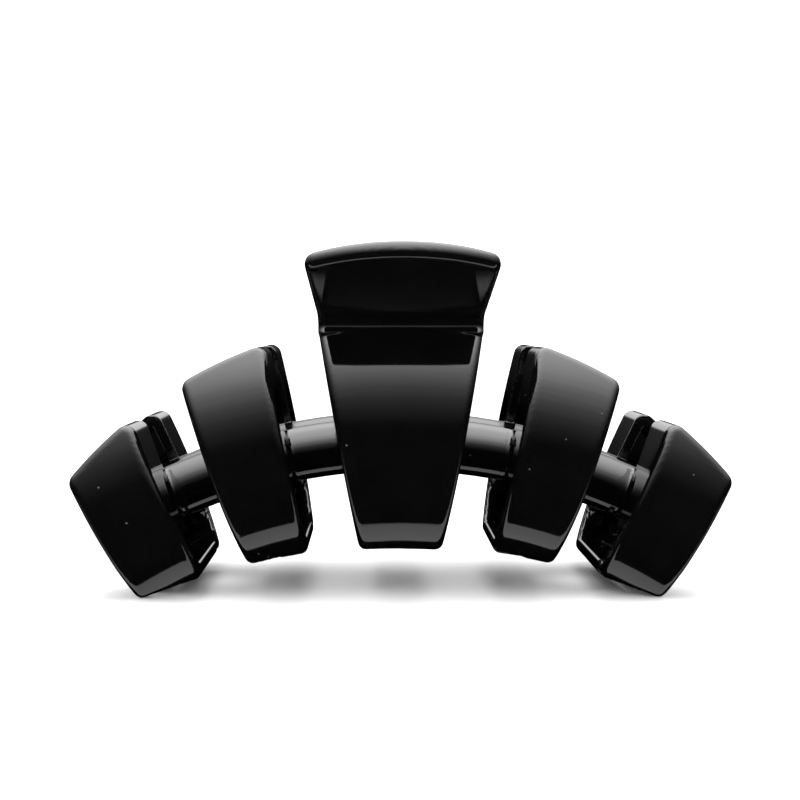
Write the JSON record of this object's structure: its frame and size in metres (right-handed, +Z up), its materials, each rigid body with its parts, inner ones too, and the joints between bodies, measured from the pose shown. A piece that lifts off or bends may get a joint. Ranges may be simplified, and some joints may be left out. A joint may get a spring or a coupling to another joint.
{
  "type": "claw hair clip",
  "caption": "Large two-jaw claw hair clip: wide fanned prongs on curved bars, thumb tabs and a sprung centre hinge.",
  "frame": {"origin": "under the middle of the closed clip, level with its lowest tips", "axes": "+X along the clip, parallel to the hinge pin; +Y from the front jaw to the rear jaw; +Z up, towards the thumb tabs"},
  "size_m": [0.104, 0.0844, 0.0559],
  "materials": {
    "black_plastic": "glossy moulded black plastic",
    "pin_steel": "drawn steel wire",
    "spring_steel": "drawn spring wire"
  },
  "bodies": {
    "front_jaw": {"front_centre_prong": "black_plastic", "front_mid_prong_left": "black_plastic", "front_mid_prong_right": "black_plastic", "front_outer_prong_left": "black_plastic", "front_outer_prong_right": "black_plastic", "front_bar": "black_plastic", "front_grip_nubs": "black_plastic", "front_hinge_lugs": "black_plastic", "front_thumb_tab": "black_plastic", "hinge_pin": "pin_steel", "torsion_spring": "spring_steel"},
    "rear_jaw": {"rear_centre_prong": "black_plastic", "rear_mid_prong_left": "black_plastic", "rear_mid_prong_right": "black_plastic", "rear_outer_prong_left": "black_plastic", "rear_outer_prong_right": "black_plastic", "rear_bar": "black_plastic", "rear_grip_nubs": "black_plastic", "rear_hinge_lugs": "black_plastic", "rear_thumb_tab": "black_plastic"}
  },
  "joints": [
    {"name": "jaw_hinge", "type": "hinge", "parent": "front_jaw", "child": "rear_jaw", "pos_m": [0, 0, 0.0241], "axis": [1, 0, 0], "range_deg": [0, 32], "stiffness_Nm_per_rad": 0.15, "springref_deg": -28.65, "deforming": ["torsion_spring"]}
  ]
}
